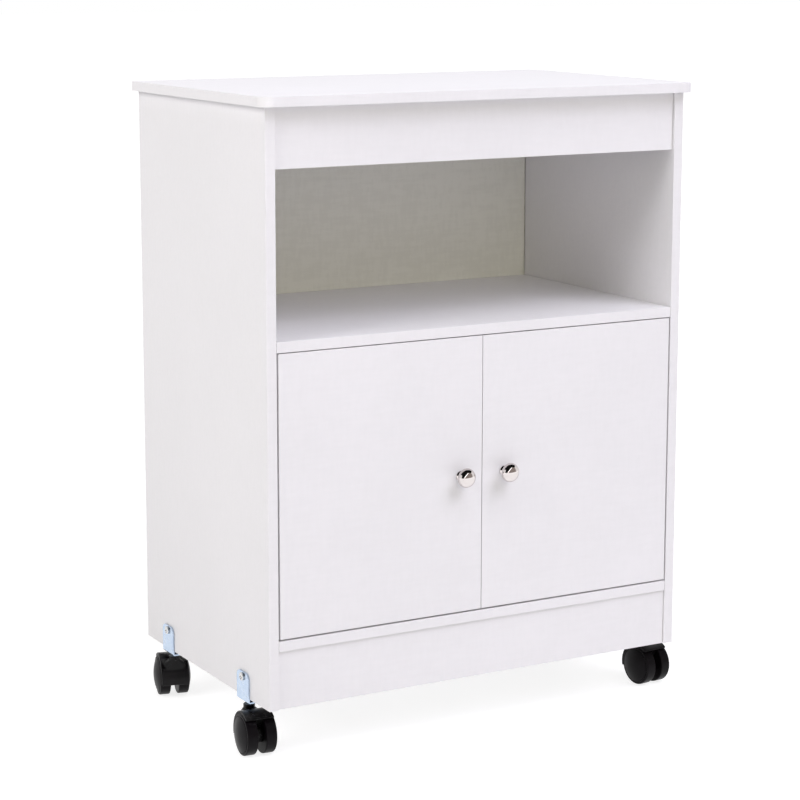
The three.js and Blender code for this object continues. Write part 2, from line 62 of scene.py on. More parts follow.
# %% [markdown]
# ## The view
# The picture was taken from the left of the front, a little above the niche, with a long lens.
# The camera's place was worked out from the edges of the boards, so it is given as a point and
# two angles. The picture is square, so the lens is the focal length in pixels times the
# sensor's width over the picture's width.

# %% Camera
picture_width_px = 800
focal_length_px = 2323.9
camera_turn_deg = 29.13
camera_tilt_deg = 9.82
picture_shift = (0.019, -0.060)
camera_place = (-1.4269, -2.4860, 0.9360)

camera_data = bpy.data.cameras.new("camera")
camera_data.sensor_width = 36
camera_data.lens = focal_length_px / picture_width_px * camera_data.sensor_width
camera_data.shift_x, camera_data.shift_y = picture_shift
camera_data.clip_end = 100
camera = bpy.data.objects.new("camera", camera_data)
camera.location = camera_place
camera.rotation_euler = (np.radians(90 - camera_tilt_deg), 0, -np.radians(camera_turn_deg))
bpy.context.scene.collection.objects.link(camera)
bpy.context.scene.camera = camera
print("lens, mm:", round(camera_data.lens, 1))

# %% [markdown]
# ## Skins of points
# Every new shape is a net of points: rings that follow each other, each ring closed on itself.
# One helper turns such a net into a closed mesh. Blender's own primitives could be pushed into
# shape by hand instead, but a net keeps the formula of each surface in sight.

# %% A closed skin through rings
def show(name, mesh):
    """Merges doubled points, turns all faces outwards and puts the mesh into the scene."""
    shell = bmesh.new()
    shell.from_mesh(mesh)
    bmesh.ops.remove_doubles(shell, verts=shell.verts, dist=same_place)
    bmesh.ops.recalc_face_normals(shell, faces=shell.faces)
    shell.to_mesh(mesh)
    shell.free()
    piece = bpy.data.objects.new(name, mesh)
    bpy.context.scene.collection.objects.link(piece)
    return piece


def tell(label, piece):
    """Prints how far a piece reaches along X, Y and Z."""
    print(label + ", mm:", [round(size / MM, 1) for size in piece.dimensions])


def skin(name, rings):
    """A closed surface through rings[i, j], point j of ring i.
    Four-sided faces join each ring to the next, and a flat face fills the first and the last ring."""
    count, sides = rings.shape[:2]
    i, j = np.meshgrid(np.arange(count - 1), np.arange(sides), indexing="ij")
    after = (j + 1) % sides
    here, there = i * sides, (i + 1) * sides
    quads = np.stack([here + j, here + after, there + after, there + j], axis=-1)
    ends = [np.arange(sides).tolist(), (np.arange(sides) + (count - 1) * sides).tolist()]
    mesh = bpy.data.meshes.new(name)
    mesh.from_pydata(rings.reshape(-1, 3).tolist(), [], quads.reshape(-1, 4).tolist() + ends)
    return show(name, mesh)


def smooth(piece, sharp_deg=35):
    """Smooth shading that keeps flat faces flat and corners over sharp_deg sharp."""
    piece.data.shade_smooth()
    piece.data.set_sharp_from_angle(angle=np.radians(sharp_deg))
    weighted = piece.modifiers.new("flat faces stay flat", "WEIGHTED_NORMAL")
    weighted.keep_sharp = True
    return piece


# %% [markdown]
# ## Outlines, plates and turned pieces
# Nearly all of the cart's pieces are one of two kinds: a plate, which is an outline with a
# thickness and rounded rims, or a turned piece, which is a profile spun about an axis. A real edge
# is never perfectly sharp: the small rounding catches the light and makes the piece look made.

# %% Helpers for outlines
def unit(vectors):
    """Vectors over their own lengths."""
    vectors = np.asarray(vectors, float)
    return vectors / np.linalg.norm(vectors, axis=-1, keepdims=True)


def eased(corners, radii, steps=5):
    """A closed outline with an arc in each corner.
    In a corner whose half angle is f, an arc of radius r touches both sides at r / tan f from the
    corner, about a centre r / sin f away on the bisector; its points turn evenly between the two."""
    corners = np.asarray(corners, float)
    radii = np.broadcast_to(radii, len(corners))[:, None]
    back, ahead = unit(np.roll(corners, 1, 0) - corners), unit(np.roll(corners, -1, 0) - corners)
    half = np.arccos(np.clip((back * ahead).sum(1, keepdims=True), -1, 1)) / 2
    centre = corners + unit(back + ahead) * radii / np.sin(half)
    start = corners + back * radii / np.tan(half) - centre
    end = corners + ahead * radii / np.tan(half) - centre
    turn = (np.pi - 2 * half)[:, None]
    t = np.linspace(0, 1, steps + 1)[None, :, None]
    arcs = (np.sin((1 - t) * turn) * start[:, None] + np.sin(t * turn) * end[:, None]) / np.sin(turn)
    points = (centre[:, None] + arcs).reshape(-1, 2)
    moved = np.linalg.norm(points - np.roll(points, 1, 0), axis=1) > 1e-8
    return points[moved]


def oblong(low, high, radii, steps=5):
    """A rectangle from its low to its high corner with rounded corners, counter-clockwise."""
    (x0, y0), (x1, y1) = low, high
    return eased([(x0, y0), (x1, y0), (x1, y1), (x0, y1)], radii, steps)


# %% A plate and a turned piece
def plate(name, outline, low, high, edge, axes, steps=4):
    """An outline carried from low to high along the third axis, with rounded rims.
    Near a face, ring(t) is the outline moved in by edge * (1 - sin t) and lies
    edge * (1 - cos t) from the face, t from 0 to 90 degrees."""
    x, y = outline.T
    if (x * np.roll(y, -1) - y * np.roll(x, -1)).sum() < 0:
        outline = outline[::-1]
    along = unit(np.roll(outline, -1, 0) - np.roll(outline, 1, 0))
    outward = np.stack([along[:, 1], -along[:, 0]], axis=1)
    t = np.linspace(0, np.pi / 2, steps + 1)
    inset, depth = edge * (1 - np.sin(t)), edge * (1 - np.cos(t))
    inset = np.concatenate([inset, inset[::-1]])[:, None, None]
    height = np.concatenate([low + depth, (high - depth)[::-1]])[:, None, None]
    flat = outline - inset * outward
    axes = np.asarray(axes, float)
    return skin(name, flat[..., :1] * axes[0] + flat[..., 1:] * axes[1] + height * axes[2])


def turned(name, profile, centre=(0, 0, 0), axis=(0, 0, 1), sides=96):
    """A profile of (radius r, height h) spun about an axis:
    point(t, a) = centre + h(t) * axis + r(t) * (cos a * across + sin a * up)."""
    axis = unit(axis)
    across = unit(np.cross(axis, (0, 0, 1) if abs(axis[2]) < 0.9 else (0, 1, 0)))
    up = np.cross(axis, across)
    a = np.linspace(0, 2 * np.pi, sides, endpoint=False)[:, None]
    spoke = np.cos(a) * across + np.sin(a) * up
    profile = np.asarray(profile, float)[:, :, None, None]
    return skin(name, np.asarray(centre) + profile[:, 1] * axis + profile[:, 0] * spoke)


def placed(source, name, turn, shift):
    """A copy of a piece whose points are turned about Z, in radians, and shifted."""
    mesh = source.data.copy()
    mesh.transform(Matrix.Translation(Vector(shift)) @ Matrix.Rotation(turn, 4, "Z"))
    piece = bpy.data.objects.new(name, mesh)
    bpy.context.scene.collection.objects.link(piece)
    return piece


def carved(name, bodies, hollows):
    """One closed body: the bodies joined together, less the hollows."""
    first = bodies[0]
    cutters = [("UNION", other) for other in bodies[1:]] + [("DIFFERENCE", h) for h in hollows]
    for operation, other in cutters:
        step = first.modifiers.new(operation, "BOOLEAN")
        step.operation, step.object, step.solver = operation, other, "EXACT"
    bpy.context.view_layer.update()
    graph = bpy.context.evaluated_depsgraph_get()
    mesh = bpy.data.meshes.new_from_object(first.evaluated_get(graph))
    for used in [*bodies, *hollows]:
        bpy.data.objects.remove(used)
    return show(name, mesh)


def discard(*patterns):
    """Takes the patterns that copies were made from out of the scene."""
    for pattern in patterns:
        bpy.data.objects.remove(pattern)


# %% [markdown]
# ## Shared effects in the finishes
# Foil, metal and plastic are never one flat colour. Two effects are used by several finishes, so
# each is a node group: a slow drift of tone, and the fine grain that is pressed into melamine foil.
# The grain serves twice, as bump and, coarser, as faint woven streaks in the colour. A picture
# texture would show its edges up close, so all of it is noise in each piece's own coordinates.

# %% Node group helper
def node_group(name, inputs, outputs):
    """An empty shader node group. inputs and outputs are (socket name, socket type) pairs."""
    tree = bpy.data.node_groups.new(name, "ShaderNodeTree")
    for direction, sockets in (("INPUT", inputs), ("OUTPUT", outputs)):
        for socket_name, kind in sockets:
            tree.interface.new_socket(socket_name, in_out=direction, socket_type=kind)
    start = tree.nodes.new("NodeGroupInput")
    end = tree.nodes.new("NodeGroupOutput")
    return tree, start, end


def add_node(tree, kind, settings=None, **values):
    """A node with its settings and the values of its named sockets."""
    node = tree.nodes.new(kind)
    for key, value in (settings or {}).items():
        setattr(node, key, value)
    for key, value in values.items():
        node.inputs[key.replace("_", " ")].default_value = value
    return node


# %% Tone drift
def make_tone_drift():
    """Colour = dark + (light - dark) * (mask + streaks), with mask a slow noise from 0 to 1."""
    colour, number = "NodeSocketColor", "NodeSocketFloat"
    tree, start, end = node_group(
        "Tone drift",
        [("Vector", "NodeSocketVector"), ("Scale", number), ("Dark", colour), ("Light", colour),
         ("Streaks", number)],
        [("Colour", colour), ("Mask", number)],
    )
    slow = add_node(tree, "ShaderNodeTexNoise", Detail=3.0, Roughness=0.55)
    spread = add_node(tree, "ShaderNodeMapRange", From_Min=0.3, From_Max=0.7)
    total = add_node(tree, "ShaderNodeMath", {"operation": "ADD", "use_clamp": True})
    mix = add_node(tree, "ShaderNodeMix", {"data_type": "RGBA"})
    link = tree.links.new
    link(start.outputs["Vector"], slow.inputs["Vector"])
    link(start.outputs["Scale"], slow.inputs["Scale"])
    link(slow.outputs[0], spread.inputs["Value"])
    link(spread.outputs[0], total.inputs[0])
    link(start.outputs["Streaks"], total.inputs[1])
    link(total.outputs[0], mix.inputs["Factor"])
    link(start.outputs["Dark"], mix.inputs["A"])
    link(start.outputs["Light"], mix.inputs["B"])
    link(mix.outputs["Result"], end.inputs["Colour"])
    link(spread.outputs[0], end.inputs["Mask"])
    return tree


tone_drift = make_tone_drift()


# %% Pressed grain
def make_pressed_grain():
    """Height of the foil: a noise drawn out along X, plus one drawn out along Z."""
    number = "NodeSocketFloat"
    tree, start, end = node_group(
        "Pressed grain", [("Vector", "NodeSocketVector"), ("Scale", number)], [("Height", number)]
    )
    link = tree.links.new
    heights = []
    for stretch in ((0.16, 1.0, 1.0), (1.0, 1.0, 0.22)):
        place = add_node(tree, "ShaderNodeMapping", Scale=stretch)
        pores = add_node(tree, "ShaderNodeTexNoise", Detail=2.0, Roughness=0.6)
        link(start.outputs["Vector"], place.inputs["Vector"])
        link(place.outputs["Vector"], pores.inputs["Vector"])
        link(start.outputs["Scale"], pores.inputs["Scale"])
        heights.append(pores.outputs[0])
    total = add_node(tree, "ShaderNodeMath", {"operation": "ADD"})
    link(heights[0], total.inputs[0])
    link(heights[1], total.inputs[1])
    link(total.outputs[0], end.inputs["Height"])
    return tree


pressed_grain = make_pressed_grain()
print("effects:", [group.name for group in bpy.data.node_groups])


# %% Finish helper
def finish(name, dark, light, rough, metal=0.0, drift_scale=6.0, bump=None, streaks=None, **constants):
    """A finish with drifting tone and sheen.
    rough is the (least, most) roughness over the surface; bump is (group or None for plain noise,
    scale, strength, distance); streaks is the (scale, strength) of the grain in the colour;
    constants are set straight on the shader's sockets."""
    material = bpy.data.materials.new(name)
    material.use_nodes = True
    tree = material.node_tree
    link = tree.links.new
    shader = tree.nodes["Principled BSDF"]
    shader.inputs["Metallic"].default_value = metal
    for key, value in constants.items():
        shader.inputs[key.replace("_", " ")].default_value = value
    where = tree.nodes.new("ShaderNodeTexCoord").outputs["Object"]
    drift = add_node(tree, "ShaderNodeGroup", {"node_tree": tone_drift})
    drift.inputs["Scale"].default_value = drift_scale
    drift.inputs["Dark"].default_value = (*dark, 1)
    drift.inputs["Light"].default_value = (*light, 1)
    link(where, drift.inputs["Vector"])
    link(drift.outputs["Colour"], shader.inputs["Base Color"])
    sheen = add_node(tree, "ShaderNodeMapRange", To_Min=rough[0], To_Max=rough[1])
    link(drift.outputs["Mask"], sheen.inputs["Value"])
    link(sheen.outputs[0], shader.inputs["Roughness"])
    if streaks:
        scale, strength = streaks
        grain = add_node(tree, "ShaderNodeGroup", {"node_tree": pressed_grain}, Scale=scale)
        signed = add_node(tree, "ShaderNodeMath", {"operation": "MULTIPLY_ADD"})
        signed.inputs[1].default_value, signed.inputs[2].default_value = strength, -strength
        link(where, grain.inputs["Vector"])
        link(grain.outputs["Height"], signed.inputs[0])
        link(signed.outputs[0], drift.inputs["Streaks"])
    if bump:
        group, scale, strength, distance = bump
        if group:
            relief = add_node(tree, "ShaderNodeGroup", {"node_tree": group}, Scale=scale)
        else:
            relief = add_node(tree, "ShaderNodeTexNoise", Scale=scale, Detail=2.0)
        raised = add_node(tree, "ShaderNodeBump", Strength=strength, Distance=distance)
        link(where, relief.inputs["Vector"])
        link(relief.outputs[0], raised.inputs["Height"])
        link(raised.outputs["Normal"], shader.inputs["Normal"])
    return material


# %% [markdown]
# ## Finishes
# The boards wear white melamine foil, satin with a fine pressed grain. The knobs are polished
# chrome, the caster brackets blue zinc plate, the hinges and screws nickel, and the casters black
# nylon, with plain noise for the fine dimples of its moulds. The back panel is a thin board in a
# slightly yellower white. White boards round an open niche light each other, so a small tint in the
# foil grows with every bounce: the foil is nearly neutral, and the lamps carry the cool tint.

# %% Finishes of the cart
white_foil = finish(
    "white melamine foil", (0.846, 0.836, 0.846), (0.882, 0.870, 0.882), (0.36, 0.46),
    drift_scale=4.0, bump=(pressed_grain, 900.0, 0.12, 0.0002), streaks=(220.0, 1.0),
)
back_foil = finish(
    "back panel foil", (0.875, 0.870, 0.790), (0.910, 0.905, 0.825), (0.45, 0.55),
    drift_scale=5.0, bump=(pressed_grain, 700.0, 0.2, 0.0002), streaks=(200.0, 4.0),
)
chrome = finish(
    "polished chrome", (0.66, 0.615, 0.60), (0.70, 0.655, 0.64), (0.04, 0.07), metal=1.0,
    drift_scale=60.0,
)
zinc = finish(
    "blue zinc plate", (0.47, 0.585, 0.745), (0.58, 0.675, 0.81), (0.20, 0.30), metal=1.0,
    drift_scale=120.0, bump=(None, 1500.0, 0.05, 0.0001),
)
nickel = finish(
    "nickel plate", (0.60, 0.60, 0.60), (0.70, 0.70, 0.69), (0.14, 0.22), metal=1.0,
    drift_scale=90.0, bump=(None, 2000.0, 0.03, 0.0001),
)
# The dowels' steel is coloured nearly black: painted shade of the narrow gaps they sit in, on real
# steel pins.
gap_shaded_steel = finish(
    "dowel steel with painted gap shade", (0.10, 0.085, 0.08), (0.16, 0.14, 0.13), (0.35, 0.5), metal=1.0,
    drift_scale=80.0, bump=(None, 1200.0, 0.1, 0.0002),
)
hood_nylon = finish(
    "black hood nylon", (0.002, 0.002, 0.002), (0.004, 0.003, 0.004), (0.24, 0.34),
    drift_scale=40.0, bump=(None, 2500.0, 0.08, 0.0001), Specular_IOR_Level=0.20,
)
wheel_nylon = finish(
    "black wheel nylon", (0.003, 0.002, 0.003), (0.005, 0.004, 0.005), (0.34, 0.46),
    drift_scale=40.0, bump=(None, 2500.0, 0.12, 0.0001), Specular_IOR_Level=0.10,
)
finishes = (white_foil, back_foil, chrome, zinc, nickel, gap_shaded_steel, hood_nylon, wheel_nylon)
print("finishes:", [material.name for material in finishes])


def dress(piece, material, body, slot, *nodes):
    """Gives a piece its finish, lets it ride on a body and stand for CAD nodes."""
    piece.data.materials.clear()
    piece.data.materials.append(material)
    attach(piece, body)
    if nodes:
        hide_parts(*nodes)


# %% [markdown]
# ## Boards that are plain plates
# The top board, both shelves and the back panel are plates without holes, so each is made new from
# the box of its CAD node. Its edge band is rounded over by half a millimetre, and the top board's
# two front corners are rounded to 16 mm. A shallow rebate down both sides of the back panel leaves
# the narrow dark joint where it meets the side panels.

# %% Plain boards
board_edge = 0.5 * MM
board_corners = {"top_board": 16 * MM, "middle_shelf": 0.8 * MM, "bottom_shelf": 0.8 * MM}
back_panel_edge = 0.2 * MM
rebate_width, rebate_depth = 1.0 * MM, 2.0 * MM
cut_past = 1 * MM
sharp_corner, sharp_edge = 1e-5, 1e-6
flat_axes = np.eye(3)
upright_axes = np.array([(1, 0, 0), (0, 0, 1), (0, -1, 0)])


def lying_board(node, edge, front_corner):
    """A board that lies flat, an outline in X and Y carried upwards."""
    low, high = (np.array(corner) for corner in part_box(node))
    radii = [front_corner, front_corner, 1.5 * edge, 1.5 * edge]
    outline = oblong(low[:2], high[:2], radii, steps=10)
    return smooth(plate(node + "_board", outline, low[2], high[2], edge, flat_axes))


for node, corner in board_corners.items():
    dress(lying_board(node, board_edge, corner), white_foil, "carcass", "white_board", node)

low, high = (np.array(corner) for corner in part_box("back_panel"))
outline = oblong(low[[0, 2]], high[[0, 2]], 2 * back_panel_edge)
back_panel = plate("back_panel_board", outline, -high[1], -low[1], back_panel_edge, upright_axes)
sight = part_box("right_side_panel")[0][0] - rebate_width
rebates = []
for side in (-1, 1):
    left, right = sorted((side * sight, side * (high[0] + cut_past)))
    strip = oblong((left, low[2] - cut_past), (right, high[2] + cut_past), sharp_corner, 1)
    inner, outer = -low[1] - rebate_depth, -low[1] + cut_past
    rebates.append(plate("rebate", strip, inner, outer, sharp_edge, upright_axes, 1))
back_panel = carved("back_panel_board", [back_panel], rebates)
dress(smooth(back_panel), back_foil, "carcass", "back_board", "back_panel")
tell("top board", bpy.data.objects["top_board_board"])
tell("back panel", back_panel)

# %% [markdown]
# ## Boards with holes and grooves
# The side panels hold the back panel in a groove and the screws and dowels in bores, and the doors
# are bored for their hinge cups. Making these anew could only repeat the CAD shape, so a copy of
# it is merged into clean faces and only its outer edges are rounded, with a Bevel that looks at
# a weight on each edge. The doors and rails are rounded less, because a wide rounding on both sides
# of a narrow gap would make the gap look wider than it is.

# %% Eased copies
def eased_copy(node, edge):
    """A copy of a CAD board whose outer edges are rounded over.
    An edge gets weight 1 where both its ends lie on the same edge of the board's box."""
    mesh = frame["nodes"][node].data.copy()
    piece = show(node + "_board", mesh)
    shell = bmesh.new()
    shell.from_mesh(mesh)
    bmesh.ops.dissolve_limit(shell, angle_limit=np.radians(1), verts=shell.verts, edges=shell.edges)
    shell.to_mesh(mesh)
    shell.free()
    points = np.empty(len(mesh.vertices) * 3)
    mesh.vertices.foreach_get("co", points)
    points = points.reshape(-1, 3)
    ends = np.empty(len(mesh.edges) * 2, int)
    mesh.edges.foreach_get("vertices", ends)
    ends = ends.reshape(-1, 2)
    at_low, at_high = points < points.min(0) + same_place, points > points.max(0) - same_place
    sides = np.concatenate([at_low, at_high], axis=1)
    shared = (sides[ends[:, 0]] & sides[ends[:, 1]]).sum(1)
    weight = (shared >= 2).astype(np.float32)
    mesh.attributes.new("bevel_weight_edge", "FLOAT", "EDGE").data.foreach_set("value", weight)
    bevel = piece.modifiers.new("eased edges", "BEVEL")
    bevel.width, bevel.segments, bevel.limit_method = edge, 4, "WEIGHT"
    smooth(piece)
    marked = np.empty(len(mesh.edges), bool)
    mesh.attributes["sharp_edge"].data.foreach_get("value", marked)
    mesh.attributes["sharp_edge"].data.foreach_set("value", marked & (weight == 0))
    return piece


rail_edge = 0.15 * MM
door_edge = 0.3 * MM
carcass_edges = {
    "left_side_panel": board_edge,
    "right_side_panel": board_edge,
    "valance_rail": rail_edge,
    "kick_rail": rail_edge,
}
for node, edge in carcass_edges.items():
    dress(eased_copy(node, edge), white_foil, "carcass", "white_board", node)
for node in ("left_door", "right_door"):
    dress(eased_copy(node, door_edge), white_foil, node, "white_board", node)
tell("left door", bpy.data.objects["left_door_board"])

# %% [markdown]
# ## Dowels
# Two steel dowels cross each end of both rails. Only the narrow gaps at the rails' ends could show
# them.
# Their steel is coloured nearly black, as painted shade of those deep narrow gaps.

# %% Dowels
dowel_radius = 3 * MM
dowel_chamfer = 0.6 * MM
for node in [name for name in frame["nodes"] if name.endswith("_dowel")]:
    low, high = (np.array(corner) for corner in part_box(node))
    middle = (low + high) / 2
    half_length = (high[0] - low[0]) / 2
    rims = [(dowel_radius, -half_length), (dowel_radius, half_length)]
    profile = eased(
        [(0, -half_length), *rims, (0, half_length)], [0, dowel_chamfer, dowel_chamfer, 0]
    )
    dowel = turned(node + "_pin", profile, middle, (1, 0, 0), sides=48)
    dress(smooth(dowel), gap_shaded_steel, "carcass", "dowel_steel", node)
tell("dowel", dowel)

# %% [markdown]
# ## Knobs
# The knobs are polished mushrooms: a small foot, a waisted neck and a domed head. The head is two
# half ellipses that meet at its widest place, so one angle runs from the underside to the crown.
# Its smooth curve matters most, because chrome shows every facet in its reflections.

# %% Knobs
knob_radius = 11.8 * MM
knob_height = 23 * MM
knob_foot = (5.8 * MM, 1.4 * MM)
knob_neck_radius = 3.7 * MM
knob_neck_heights = (2.8 * MM, 9.6 * MM)
knob_widest_height = 14.8 * MM
knob_underside = 4 * MM
knob_underside_angle = -60
seat_gap = 0.3 * MM


def knob_head(steps=40):
    """(radius, height) = (R cos a, middle + rise sin a), where rise is the underside's height for
    a < 0 and the crown's for a > 0."""
    a = np.radians(np.linspace(knob_underside_angle, 90, steps + 1))
    rise = np.where(a < 0, knob_underside, knob_height - knob_widest_height)
    return np.stack([knob_radius * np.cos(a), knob_widest_height + rise * np.sin(a)], axis=1)


# The outline's last two corners only close it, so the head follows without them.
foot_and_neck = eased(
    [
        (0, seat_gap),
        (knob_foot[0], seat_gap),
        (knob_foot[0], knob_foot[1]),
        (knob_neck_radius, knob_neck_heights[0]),
        (knob_neck_radius, knob_neck_heights[1]),
        tuple(knob_head()[0]),
        (0, knob_head()[0, 1]),
    ],
    np.array([0, 0.3, 0.5, 1.0, 1.2, 0, 0]) * MM,
)[:-2]
knob_profile = np.concatenate([foot_and_neck, knob_head()[1:]])
for side in ("left", "right"):
    low, high = (np.array(corner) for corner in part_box(side + "_knob"))
    middle = (low + high) / 2
    door_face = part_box(side + "_door")[0][1]
    knob = turned(side + "_knob_dome", knob_profile, (middle[0], door_face, middle[2]), (0, -1, 0), 128)
    dress(smooth(knob, 50), chrome, side + "_door", "knob_chrome", side + "_knob")
tell("knob", knob)

# %% [markdown]
# ## Screws
# A pan-head screw is a turned piece with a cross pressed into its head. The cross is part of the
# same net: each point of the head is lowered where it lies inside the two arms, and a smooth
# step gives the arms their sloping walls.

# %% Pan-head screws
crown_share = 0.82
cross_depth_share = 0.55
arm_width_share, arm_length_share, arm_wall_share = 0.26, 0.62, 0.14
head_rim_height_share, head_seat_share = 0.12, 0.96


def smooth_step(x):
    """0 below 0 and 1 above 1, with 3 x^2 - 2 x^3 in between."""
    x = np.clip(x, 0, 1)
    return x * x * (3 - 2 * x)


def screw(name, head_radius, head_height, shank_radius, length, sides=96):
    """A screw along +X, its head's underside at X = 0 and its tip at X = -length.
    Over the head, x(r, a) = crown(r) - depth * inside(r, a), where crown is a quarter ellipse and
    inside is 1 within the cross's arms."""
    a = np.linspace(0, 2 * np.pi, sides, endpoint=False)
    r = head_radius * np.sin(np.linspace(0, np.pi / 2, 28))
    crown = head_height * np.sqrt(np.clip(1 - (crown_share * r / head_radius) ** 2, 0, 1))
    y, z = np.abs(r[:, None] * np.cos(a)), np.abs(r[:, None] * np.sin(a))
    arm_width, arm_length = arm_width_share * head_radius, arm_length_share * head_radius
    wall = arm_wall_share * head_radius
    across = smooth_step((arm_width - np.minimum(y, z)) / wall + 0.5)
    along = smooth_step((arm_length - np.maximum(y, z)) / wall + 0.5)
    top = crown[:, None] - cross_depth_share * head_height * across * along
    below = np.array([
        (head_radius, head_rim_height_share * head_height),
        (head_seat_share * head_radius, 0),
        (shank_radius, 0),
        (shank_radius, -length + shank_radius),
        (0, -length),
    ])
    radius = np.concatenate([r, below[:, 0]])[:, None] + 0 * a
    height = np.concatenate([top, below[:, 1:] + 0 * a])
    rings = np.stack([height, radius * np.cos(a), radius * np.sin(a)], axis=-1)
    return skin(name, rings)


bracket_head_height, knob_head_height = 2.6 * MM, 2.2 * MM
bracket_screw = screw("bracket_screw_pattern", 5 * MM, bracket_head_height, 2 * MM, 11 * MM)
knob_screw = screw("knob_screw_pattern", 4 * MM, knob_head_height, 1.95 * MM, 21.7 * MM)
for side in ("left", "right"):
    low, high = (np.array(corner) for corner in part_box(side + "_knob_screw"))
    middle = (low + high) / 2
    seat = (middle[0], high[1] - knob_head_height, middle[2])
    piece = placed(knob_screw, side + "_knob_pan_screw", np.pi / 2, seat)
    dress(smooth(piece), nickel, side + "_door", "nickel_steel", side + "_knob_screw")
tell("bracket screw", bracket_screw)
tell("knob screw", knob_screw)

# %% [markdown]
# ## Casters
# All four casters are alike, so each of their pieces is made once about its own stem, trailing
# towards -Y, and then turned and shifted into place. The swivel joints say where the stems stand,
# and the wheel joints say which way the axles point.

# %% Caster sizes
wheel_radius = 25 * MM
wheel_inner = 5.2 * MM
tread_width = 13.1 * MM
dome_rise = 4.85 * MM
caster_trail = 20 * MM
axle_radius = 3 * MM
axle_half_length = 16.5 * MM
stand = {
    f"{end}_{side}": {
        "stem": np.array([*joints[f"{end}_{side}_swivel"]["pos_m"][:2], 0]),
        "turn": np.arctan2(*joints[f"{end}_{side}_left_wheel_spin"]["axis"][1::-1]),
        "outward": 0 if side == "right" else np.pi,
    }
    for end in ("front", "rear")
    for side in ("left", "right")
}
turns = {name: round(float(np.degrees(place["turn"])), 1) for name, place in stand.items()}
print("casters turned, deg:", turns)


# %% [markdown]
# ### Wheels
# Each wheel is a nylon disc with a plain tread and a domed outer face. A fine groove runs round the
# dome just inside the tread and sets off the rim. Tread, groove and dome are one profile, spun about
# the axle.

# %% Wheels
def wheel_profile():
    """Tread and groove as eased corners, then the dome: height = lip + rise * (1 - (r / R)^2).
    The corner at (0, tread_width + lip) only closes the outline of the rim and is dropped."""
    groove_radius, groove_width, groove_depth = 22.3 * MM, 0.7 * MM, 0.6 * MM
    rim_rise, groove_slant = 0.35 * MM, 0.1 * MM
    bore, bore_depth = axle_radius + seat_gap, axle_half_length - wheel_inner + seat_gap
    lip = 0.6 * MM
    cap = groove_radius - groove_width
    rim = eased(
        [
            (0, bore_depth),
            (bore, bore_depth),
            (bore, 0),
            (wheel_radius, 0),
            (wheel_radius, tread_width),
            (groove_radius, tread_width + rim_rise),
            (groove_radius - groove_slant, tread_width - groove_depth),
            (cap, tread_width - groove_depth),
            (cap, tread_width + lip),
            (0, tread_width + lip),
        ],
        np.array([0, 0, 0.3, 1.2, 1.6, 0.25, 0.1, 0.1, 0, 0]) * MM,
    )[:-1]
    r = np.linspace(cap, 0, 30)[1:]
    dome = tread_width + lip + (dome_rise - lip) * (1 - (r / cap) ** 2)
    return np.concatenate([rim, np.stack([r, dome], axis=1)])


wheel = turned("wheel_pattern", wheel_profile(), (0, 0, 0), (1, 0, 0), sides=128)
wheel.data.transform(Matrix.Translation((wheel_inner, 0, 0)))
tell("wheel", wheel)

# %% [markdown]
# ### Hood, axle and stem
# The hood is an arched cover over the wheels with a web between them, a hub round the axle, and a
# shoulder that swells out of the arch up to a collar, which turns on the stem. These are separate
# pieces here, joined into one body with Boolean modifiers, because that keeps each of them a
# simple formula.

# %% Hood
hood_inner, hood_outer = 26.3 * MM, 28.5 * MM
hood_half_width = 17.6 * MM
hood_from_deg, hood_to_deg = -14, 128
shoulder_half_width, shoulder_drop = 15 * MM, 2.5 * MM
shoulder_angles_deg = (25, 60)
web_half = 4.7 * MM
hub_radius = 11.5 * MM
collar_radius = 7 * MM
sunk = 0.5 * MM
hood_top = wheel_radius + hood_outer
collar_top = hood_top + 2 * MM
stem_radius = 3.1 * MM
stem_low = collar_top - 26 * MM
side_axes = np.array([(0, 1, 0), (0, 0, 1), (1, 0, 0)])


def about_axle(radius, degrees):
    """(y, z) on a circle about the axle, the angle measured up from the stem's side."""
    a = np.radians(degrees)
    return np.stack([-caster_trail + radius * np.cos(a), wheel_radius + radius * np.sin(a)], axis=-1)


def hood_band(inner, outer, corner):
    """An arch between two radii: the outer arc out, the inner arc back, eased at its ends."""
    degrees = np.linspace(hood_from_deg, hood_to_deg, 57)
    arc_out, arc_back = about_axle(outer, degrees), about_axle(inner, degrees[::-1])
    radii = np.zeros(2 * len(degrees))
    radii[[0, len(degrees) - 1, len(degrees), -1]] = corner
    return eased(np.concatenate([arc_out, arc_back]), radii, steps=4)


def hood_shoulder(sides=96):
    """The convex body round a ring under the collar and an ellipse that lies within the arch,
    foot(a) = middle + half width * cos a along X + half chord * sin a along the chord."""
    a = np.linspace(0, 2 * np.pi, sides, endpoint=False)
    under_collar = np.full(sides, hood_top - shoulder_drop)
    ring = np.stack([collar_radius * np.cos(a), collar_radius * np.sin(a), under_collar], axis=1)
    ends = about_axle(hood_outer - sunk, np.array(shoulder_angles_deg))
    chord = ends.mean(0) + np.sin(a)[:, None] * (ends[1] - ends[0]) / 2
    foot = np.column_stack([shoulder_half_width * np.cos(a), chord])
    mesh = bpy.data.meshes.new("shoulder")
    mesh.from_pydata(np.concatenate([ring, foot]).tolist(), [], [])
    shell = bmesh.new()
    shell.from_mesh(mesh)
    bmesh.ops.convex_hull(shell, input=shell.verts)
    shell.to_mesh(mesh)
    shell.free()
    return show("shoulder", mesh)


def ring_bar(name, radius, from_, to, edge, centre=(0, 0, 0), axis=(0, 0, 1), sides=96):
    """A plain round bar with eased rims, from one height to another along its axis."""
    corners = [(0, from_), (radius, from_), (radius, to), (0, to)]
    return turned(name, eased(corners, [0, edge, edge, 0]), centre, axis, sides)


